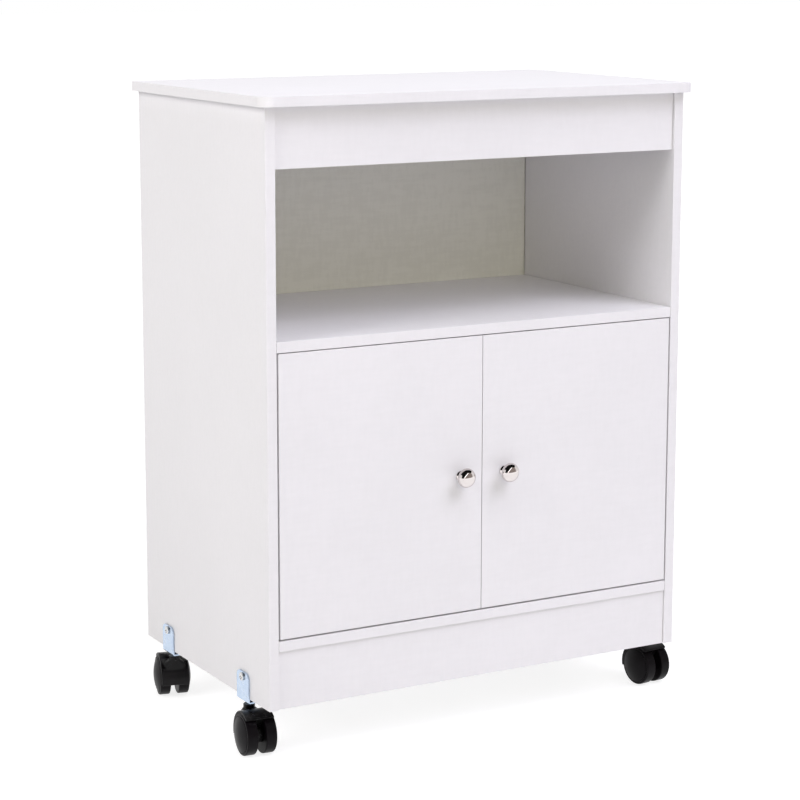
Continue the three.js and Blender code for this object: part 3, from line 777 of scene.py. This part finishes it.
cover = plate(
    "hood_pattern", hood_band(hood_inner, hood_outer, 0.9 * MM),
    -hood_half_width, hood_half_width, 0.95 * MM, side_axes, steps=5,
)
web = plate(
    "web", hood_band(2 * MM, hood_outer - 1.1 * MM, 0.6 * MM), -web_half, web_half, 0.3 * MM, side_axes
)
axle_place = (0, -caster_trail, wheel_radius)
hub = ring_bar("hub", hub_radius, -web_half, web_half, 0.5 * MM, axle_place, (1, 0, 0))
collar_low = hood_top - shoulder_drop - sunk
collar = ring_bar("collar", collar_radius, collar_low, collar_top, 0.7 * MM)
through, above = 20 * MM, 100 * MM
axle_hole = ring_bar(
    "axle_hole", axle_radius + seat_gap, -through, through, sharp_corner, axle_place, (1, 0, 0), 48
)
socket = ring_bar(
    "socket", stem_radius + seat_gap, stem_low - seat_gap, above, sharp_corner, sides=48
)
hood = carved("hood_pattern", [cover, web, hub, hood_shoulder(), collar], [axle_hole, socket])
tell("hood", hood)

# %% Axle and stem
axle_edge = 0.4 * MM
axle = ring_bar(
    "axle_pattern", axle_radius, -axle_half_length, axle_half_length, axle_edge, axle_place,
    (1, 0, 0), 48,
)
foot_z = collar_top + 4 * MM
strip_thickness = 2 * MM
tenon_radius, stem_head_radius, stem_head_height = 2.2 * MM, 4.8 * MM, 2.9 * MM
stem_head_low = foot_z + strip_thickness + seat_gap
stem_corners = np.array([
    (0, stem_low),
    (stem_radius, stem_low),
    (stem_radius, foot_z - seat_gap),
    (tenon_radius, foot_z - seat_gap),
    (tenon_radius, stem_head_low),
    (stem_head_radius, stem_head_low),
    (stem_head_radius, stem_head_low + stem_head_height),
    (0, stem_head_low + stem_head_height),
])
stem_rounding = np.array([0, 1.0, 0.3, 0.2, 0.2, 0.4, 1.2, 0]) * MM
stem = turned("stem_pattern", eased(stem_corners, stem_rounding), sides=64)
tell("axle", axle)
tell("stem", stem)


# %% [markdown]
# ### Brackets
# The bracket is one strip of zinc-plated steel bent into a U round the panel's lower edge. It is a
# rectangle carried along the U. The strip narrows near its two ends, which rounds the upper corners
# of both legs.

# %% Brackets
strip_half_width = 15.75 * MM
panel_half = 6.25 * MM
bend_radius = 2.6 * MM
panel_bottom = 65 * MM
leg_tops = (panel_bottom + 31 * MM, panel_bottom + 20 * MM)
leg_corner = 8 * MM
end_steps, bend_steps = 14, 9
strip_rim, rim_share = 0.35 * MM, 0.28


def bracket_strip():
    """Rings of a rectangular section along a U of centre line c(s).
    Within `corner` of an end, the half width is w - corner + sqrt(corner^2 - (corner - s)^2)."""
    middle = panel_half + seat_gap + strip_thickness / 2
    low = foot_z + strip_thickness / 2
    fillet = bend_radius - strip_thickness / 2
    t = np.linspace(0, np.pi / 2, bend_steps)
    sine, cosine = fillet * np.sin(t), fillet * np.cos(t)
    bend_out = np.stack([middle - fillet + cosine, low + fillet - sine], axis=1)
    bend_in = np.stack([-middle + fillet - sine, low + fillet - cosine], axis=1)
    drop = leg_corner * (1 - np.cos(np.linspace(0, np.pi / 2, end_steps)))
    outer = np.stack([0 * drop + middle, leg_tops[0] - drop], axis=1)
    inner = np.stack([0 * drop - middle, leg_tops[1] - drop[::-1]], axis=1)
    line = np.concatenate([outer, bend_out, bend_in, inner])
    from_end = np.concatenate([drop, np.full(2 * bend_steps, leg_corner), drop[::-1]])
    half = strip_half_width - leg_corner + np.sqrt(leg_corner**2 - (leg_corner - from_end) ** 2)
    along = unit(np.gradient(line, axis=0))
    outward = np.stack([-along[:, 1], along[:, 0]], axis=1)
    section = oblong((-1, -1), (1, 1), rim_share, steps=3)
    from_side = strip_rim * (1 - np.abs(section[:, 0])) / rim_share
    across = np.sign(section[:, 0]) * (half[:, None] - from_side)
    lift = section[:, 1] * strip_thickness / 2
    x = line[:, :1] + outward[:, :1] * lift
    z = line[:, 1:] + outward[:, 1:] * lift
    return skin("bracket_pattern", np.stack([x, across, z], axis=-1))


bracket = bracket_strip()
tell("bracket", bracket)

# %% Place the casters
for name, place in stand.items():
    stem_at, turn, outward = place["stem"], place["turn"], place["outward"]
    trail = np.array([np.sin(turn), -np.cos(turn), 0]) * caster_trail
    wheel_at = stem_at + trail + [0, 0, wheel_radius]
    pieces = [
        (bracket, "bracket", "clip", outward, stem_at, zinc, "carcass", "zinc_plate"),
        (stem, "stem", "pin", 0, stem_at, zinc, "carcass", "zinc_plate"),
        (hood, "hood", "shell", turn, stem_at, hood_nylon, name + "_caster", "hood_plastic"),
        (axle, "axle", "pin", turn, stem_at, nickel, name + "_caster", "nickel_steel"),
    ]
    for side, flip in (("left", np.pi), ("right", 0)):
        body = f"{name}_{side}_wheel"
        pieces.append((wheel, side + "_wheel", "disc", turn + flip, wheel_at, wheel_nylon, body,
                       "wheel_plastic"))
    for pattern, part, word, angle, at, material, body, slot in pieces:
        piece = placed(pattern, f"{name}_{part}_{word}", angle, at)
        dress(smooth(piece), material, body, slot, f"{name}_{part}")
    low, high = (np.array(corner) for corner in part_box(name + "_bracket_screw"))
    head = high[0] if outward == 0 else low[0]
    seat = (head - np.cos(outward) * bracket_head_height, *(low + high)[1:] / 2)
    piece = placed(bracket_screw, name + "_bracket_pan_screw", outward, seat)
    dress(smooth(piece), nickel, "carcass", "nickel_steel", name + "_bracket_screw")
discard(bracket, stem, hood, axle, wheel, bracket_screw, knob_screw)

# %% [markdown]
# ## Hinges
# Each door hangs on two concealed hinges. The cup is pressed into the door and its flange lies
# on the door's back; the cranked arm lies on its winged plate on the side panel and reaches into
# the cup. They are drawn for the right-hand side, as seen from above, and mirrored for the left.

# %% Hinge cup and arm
cup_radius, cup_depth, cup_wall = 13 * MM, 9 * MM, 1 * MM
flange_thickness, flange_width, flange_height = 1.2 * MM, 13 * MM, 44 * MM
arm_height, arm_depth, arm_length = 13 * MM, 12 * MM, 56 * MM
plate_thickness, plate_setback, plate_length = 2.5 * MM, 24 * MM, 36 * MM
wing_length, wing_height = 12 * MM, 46 * MM
cup_across = 18.2 * MM
screw_offset = 17.5 * MM
nose_half = 5 * MM
door_screw, plate_screw, arm_screw = (2 * MM, 0.8 * MM), (2 * MM, 1 * MM), (2.6 * MM, 1.6 * MM)
arm_screw_places = (8 * MM, 26 * MM)
bar_share = 0.22
facing_back = np.array([(1, 0, 0), (0, 0, 1), (0, 1, 0)])
facing_door = np.array([(0, 1, 0), (0, 0, 1), (-1, 0, 0)])


def cross_cut(name, centre, along, size, depth):
    """Two crossed bars sunk into a screw's head; along is the direction out of the head."""
    along = np.abs(np.asarray(along))
    cuts = []
    for long_way in (0, 1):
        others = [axis for axis in range(3) if not along[axis]]
        half = np.where(along > 0, depth, bar_share * size)
        half[others[long_way]] = size
        low, high = np.asarray(centre) - half, np.asarray(centre) + half
        outline = oblong(low[:2], high[:2], sharp_corner, 1)
        cuts.append(plate(name, outline, low[2], high[2], sharp_edge, flat_axes, 1))
    return cuts


def hinge_cup():
    """The cup and its flange about the cup's centre, Y = 0 on the door's back."""
    rim = seat_gap + flange_thickness
    cup = ring_bar("cup", cup_radius, -cup_depth, rim, 0.6 * MM, (0, 0, 0), (0, 1, 0))
    corner = np.array([flange_width / 2, flange_height / 2])
    flange = plate(
        "flange", oblong(-corner, corner, 4 * MM, 8), seat_gap, rim, 0.3 * MM, facing_back
    )
    hollow = ring_bar(
        "hollow", cup_radius - cup_wall, cup_wall - cup_depth, 2 * rim, 0.3 * MM, (0, 0, 0), (0, 1, 0)
    )
    crosses = []
    for up in (-1, 1):
        crosses += cross_cut("cross", (0, rim, up * screw_offset), (0, 1, 0), *door_screw)
    return carved("hinge_cup_pattern", [flange, cup], [hollow, *crosses])


def hinge_arm():
    """The arm, seen from above: u is the way in from the side panel's inner face, v the way back
    from the door's back, so that a point lies at X = -u and Y = v."""
    nose_v = seat_gap + flange_thickness + 0.7 * MM
    plate_u = seat_gap + plate_thickness
    arm_top = plate_u + arm_depth
    arm_end = nose_v + arm_length
    bend = plate_setback - 2 * MM
    corners = np.array([
        (plate_u - 0.5 * MM, arm_end),
        (arm_top - 4 * MM, arm_end),
        (arm_top, arm_end - 6 * MM),
        (arm_top, bend),
        (cup_across + nose_half, bend / 2),
        (cup_across + nose_half, nose_v),
        (cup_across - nose_half, nose_v),
        (cup_across - nose_half, bend / 2 - 2 * MM),
        (plate_u - 0.5 * MM, plate_setback + 4 * MM),
    ]) * (-1, 1)
    outline = eased(corners, np.array([0, 2, 3, 6, 4, 1.5, 1.5, 4, 1]) * MM, 6)
    arm = plate("arm", outline, -arm_height / 2, arm_height / 2, 1.4 * MM, flat_axes, 5)
    link_low = (-cup_across - nose_half, cup_wall - cup_depth + seat_gap)
    link_high = (-cup_across + 1.5 * MM, nose_v + 2 * MM)
    link = plate(
        "link", oblong(link_low, link_high, 0.8 * MM), -4 * MM, 4 * MM, 0.5 * MM, flat_axes
    )
    bodies = [arm, link]
    for start, length, height in (
        (plate_setback, plate_length, arm_height + 4 * MM),
        (plate_setback + (plate_length - wing_length) / 2, wing_length, wing_height),
    ):
        rounded = oblong((start, -height / 2), (start + length, height / 2), 3 * MM, 6)
        bodies.append(plate("plate", rounded, seat_gap, plate_u, 0.4 * MM, facing_door))
    crosses = []
    for place in arm_screw_places:
        crosses += cross_cut("cross", (-arm_top, plate_setback + place, 0), (1, 0, 0), *arm_screw)
    middle = plate_setback + plate_length / 2
    for up in (-1, 1):
        crosses += cross_cut("cross", (-plate_u, middle, up * screw_offset), (1, 0, 0), *plate_screw)
    return carved("hinge_arm_pattern", bodies, crosses)


# %% Hang the doors
def mirrored(source, name, side, shift):
    """A copy of a right-hand piece, mirrored for the left-hand side, and shifted."""
    mesh = source.data.copy()
    if side == "left":
        mesh.transform(Matrix.Scale(-1, 4, (1, 0, 0)))
    mesh.transform(Matrix.Translation(Vector(shift)))
    return show(name, mesh)


cup_pattern, arm_pattern = hinge_cup(), hinge_arm()
door_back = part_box("left_door")[1][1]
for side in ("left", "right"):
    panel_low, panel_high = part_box(side + "_side_panel")
    inner_face = panel_high[0] if side == "left" else panel_low[0]
    for level in ("upper", "lower"):
        low, high = (np.array(corner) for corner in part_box(f"{side}_{level}_hinge_cup"))
        middle = (low + high) / 2
        cup_node, arm_node = f"{side}_{level}_hinge_cup", f"{side}_{level}_hinge_arm"
        cup = mirrored(cup_pattern, cup_node + "_flanged", side, (middle[0], door_back, middle[2]))
        arm = mirrored(arm_pattern, arm_node + "_cranked", side, (inner_face, door_back, middle[2]))
        dress(smooth(cup), nickel, side + "_door", "nickel_steel", cup_node)
        dress(smooth(arm), nickel, "carcass", "nickel_steel", arm_node)
tell("hinge cup", cup_pattern)
tell("hinge arm", arm_pattern)
discard(cup_pattern, arm_pattern)

# %% [markdown]
# ## Studio
# A catalogue picture has a white sweep under even light, and a floor so bright that only a faint
# soft shadow is left under the cart. The floor is a plain white surface. Rays from the camera, and
# those that mirror or pass through, also see a glow of its own, weaker near the cart so that the
# shadow stays. Scattered light doesn't meet the glow, so the cart isn't lit from below by it.

# %% Floor and world
def stage_plane(name, corners):
    """A flat face of the studio, which isn't part of the cart."""
    mesh = bpy.data.meshes.new(name)
    mesh.from_pydata(corners, [], [(0, 1, 2, 3)])
    plane = bpy.data.objects.new(name, mesh)
    bpy.context.scene.collection.objects.link(plane)
    return plane


def seen_ray(tree):
    """1 for camera, glossy and transmission rays, else 0."""
    path = tree.nodes.new("ShaderNodeLightPath")
    total = path.outputs["Is Camera Ray"]
    for kind in ("Is Glossy Ray", "Is Transmission Ray"):
        add = tree.nodes.new("ShaderNodeMath")
        add.operation, add.use_clamp = "ADD", True
        tree.links.new(total, add.inputs[0])
        tree.links.new(path.outputs[kind], add.inputs[1])
        total = add.outputs[0]
    return total


floor_half = 30.0
floor = stage_plane(
    "studio_floor",
    [(-floor_half, -floor_half, 0), (floor_half, -floor_half, 0), (floor_half, floor_half, 0),
     (-floor_half, floor_half, 0)],
)
floor_paint = bpy.data.materials.new("studio floor")
floor_paint.use_nodes = True
tree = floor_paint.node_tree
surface = tree.nodes["Principled BSDF"]
surface.inputs["Base Color"].default_value = (0.80, 0.80, 0.80, 1)
surface.inputs["Roughness"].default_value = 0.9
glow = tree.nodes.new("ShaderNodeEmission")
glow.inputs["Color"].default_value = (1, 1, 1, 1)
glow.inputs["Strength"].default_value = 1.7
blend = tree.nodes.new("ShaderNodeMixShader")
distance = add_node(tree, "ShaderNodeVectorMath", {"operation": "LENGTH"})
tree.links.new(tree.nodes.new("ShaderNodeTexCoord").outputs["Object"], distance.inputs[0])
glow_share = add_node(tree, "ShaderNodeMapRange", {"interpolation_type": "SMOOTHSTEP"},
                      From_Min=0.8, From_Max=4.0, To_Min=0.47, To_Max=0.66)
tree.links.new(distance.outputs["Value"], glow_share.inputs["Value"])
share = add_node(tree, "ShaderNodeMath", {"operation": "MULTIPLY"})
tree.links.new(glow_share.outputs[0], share.inputs[1])
tree.links.new(seen_ray(tree), share.inputs[0])
tree.links.new(share.outputs[0], blend.inputs["Fac"])
tree.links.new(surface.outputs[0], blend.inputs[1])
tree.links.new(glow.outputs[0], blend.inputs[2])
tree.links.new(blend.outputs[0], tree.nodes["Material Output"].inputs["Surface"])
floor.data.materials.append(floor_paint)
tell("floor", floor)

# %% [markdown]
# Polished metal shows the room. In front of the cart the room is dusky above the white floor, black
# on the left, and a narrow bright strip between the two gives the knobs their slanting streak.
# Only mirror rays see these panels: they light nothing else and cast no shadow.

# %% Dusky room and bright strip for the chrome
def mirror_panel(name, corners, colour, strength):
    """A panel that only mirror rays see, of one even brightness."""
    panel = stage_plane(name, corners)
    paint = bpy.data.materials.new(name)
    paint.use_nodes = True
    shader = paint.node_tree.nodes["Principled BSDF"]
    shader.inputs["Base Color"].default_value = (0, 0, 0, 1)
    shader.inputs["Specular IOR Level"].default_value = 0
    shader.inputs["Emission Color"].default_value = (*colour, 1)
    shader.inputs["Emission Strength"].default_value = strength
    panel.data.materials.append(paint)
    for ray in ("camera", "diffuse", "shadow", "transmission", "volume_scatter"):
        setattr(panel, "visible_" + ray, False)


panels = {
    "dusky_wall": ([(-9, -6, 0.02), (9, -6, 0.02), (9, -6, 6), (-9, -6, 6)], (1.0, 0.86, 0.80), 0.34),
    "black_ceiling": ([(-9, -6, 6), (9, -6, 6), (9, 0.5, 6), (-9, 0.5, 6)], (1, 1, 1), 0.01),
    "black_wall": (
        [(-9, -5.9, 0.02), (-3.4, -5.9, 0.02), (2.9, -5.9, 6), (-9, -5.9, 6)], (1, 1, 1), 0.005
    ),
    "bright_strip": (
        [(-3.2, -5.8, 0.3), (-2.3, -5.8, 0.3), (3.3, -5.8, 5.8), (2.4, -5.8, 5.8)], (1, 1, 1), 3.0
    ),
}
for name, (corners, colour, strength) in panels.items():
    mirror_panel(name, corners, colour, strength)
print("panels and their brightness:", {name: values[2] for name, values in panels.items()})

# %% [markdown]
# The world is plain white where the camera or a mirror sees it. Everything else gets a weak warm
# light from it, which fills the shadows.

# %% World
world = bpy.data.worlds.new("studio")
world.use_nodes = True
tree = world.node_tree
ambient = tree.nodes["Background"]
ambient.inputs["Color"].default_value = (1.0, 0.92, 0.82, 1)
ambient.inputs["Strength"].default_value = 0.11
white = tree.nodes.new("ShaderNodeBackground")
white.inputs["Color"].default_value = (1, 1, 1, 1)
white.inputs["Strength"].default_value = 1.0
blend = tree.nodes.new("ShaderNodeMixShader")
tree.links.new(seen_ray(tree), blend.inputs["Fac"])
tree.links.new(ambient.outputs[0], blend.inputs[1])
tree.links.new(white.outputs[0], blend.inputs[2])
tree.links.new(blend.outputs[0], tree.nodes["World Output"].inputs["Surface"])
bpy.context.scene.world = world

# %% [markdown]
# ## Lamps
# Large lamps give soft shadows. The strengths were found by lighting the cart with one lamp at a
# time: light adds up, so the shares that come nearest to the picture follow from a least squares
# fit. The lamp overhead stands a little in front, which puts the shadow of the top board on the
# valance, and the left one is high, which draws the thin shadow under the top board's left edge. The
# lamp behind keeps the back and the right-hand side from going dark in other views.

# %% Lamps
def soft_lamp(name, place, size, power, colour):
    """A lamp at a place, aimed at the cart's lower half; size in metres, power in watts."""
    data = bpy.data.lights.new(name, "AREA")
    data.shape, data.size, data.size_y = "RECTANGLE", size[0], size[1]
    data.energy, data.color = power, colour
    lamp = bpy.data.objects.new(name, data)
    lamp.visible_glossy = False
    lamp.location = place
    aim = Vector(lamp_target) - Vector(place)
    lamp.rotation_euler = aim.to_track_quat("-Z", "Y").to_euler()
    bpy.context.scene.collection.objects.link(lamp)


lamp_target = (0, 0, 0.4)
lamps = {
    "overhead": ((0.3, -1.6, 4.2), (3.6, 2.4), 64, (0.90, 0.905, 1.0)),
    "front_top": ((2.0, -4.0, 4.5), (4.0, 3.0), 160, (0.88, 0.87, 1.0)),
    "front_low": ((-1.6, -5.4, 2.3), (3.0, 2.4), 55, (1.0, 0.95, 0.80)),
    "left": ((-4.6, -0.6, 3.2), (3.0, 2.6), 154, (0.99, 0.98, 0.985)),
    "back": ((4.2, 4.2, 3.4), (3.4, 2.6), 85, (0.97, 0.96, 1.0)),
}
for name, (place, size, power, colour) in lamps.items():
    soft_lamp(name + "_lamp", place, size, power, colour)
print("lamps, W:", {name: values[2] for name, values in lamps.items()})

# %% [markdown]
# ## Look of the view
# The colours go to the screen as they are, without a film look.

# %% Finish
bpy.context.scene.view_settings.view_transform = "Standard"
